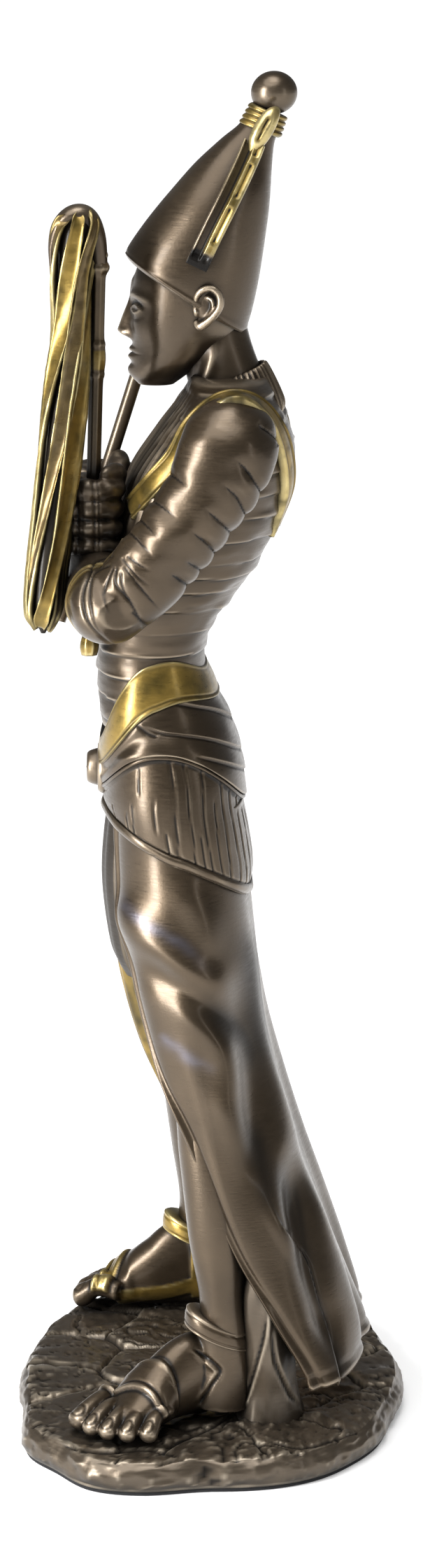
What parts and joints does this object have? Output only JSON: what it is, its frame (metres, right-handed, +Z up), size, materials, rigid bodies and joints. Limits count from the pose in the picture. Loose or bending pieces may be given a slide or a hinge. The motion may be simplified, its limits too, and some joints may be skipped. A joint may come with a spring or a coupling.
{
  "type": "osiris figure",
  "caption": "Striding wrapped Egyptian god in a plumed crown, holding crook and flail across the chest, cast in one with its paved oval base, bronze finish with gilt trim.",
  "frame": {"origin": "centre of the underside of the felt under the base", "axes": "+Z up, the figure faces -Y, +X is the figure's own left side, where it holds the flail"},
  "size_m": [0.113, 0.088, 0.2982],
  "materials": {
    "bronze_finish": "cold-cast resin with a brown-bronze metallic finish, dark in the recesses and rubbed pale on the edges",
    "gilt_finish": "cold-cast resin with antique gold paint over bronze, dark in the grooves",
    "felt": "thin black felt"
  },
  "bodies": {
    "root": {"figure": "bronze_finish", "flail": "gilt_finish", "crook": "bronze_finish", "felt_pad": "felt"}
  },
  "joints": []
}
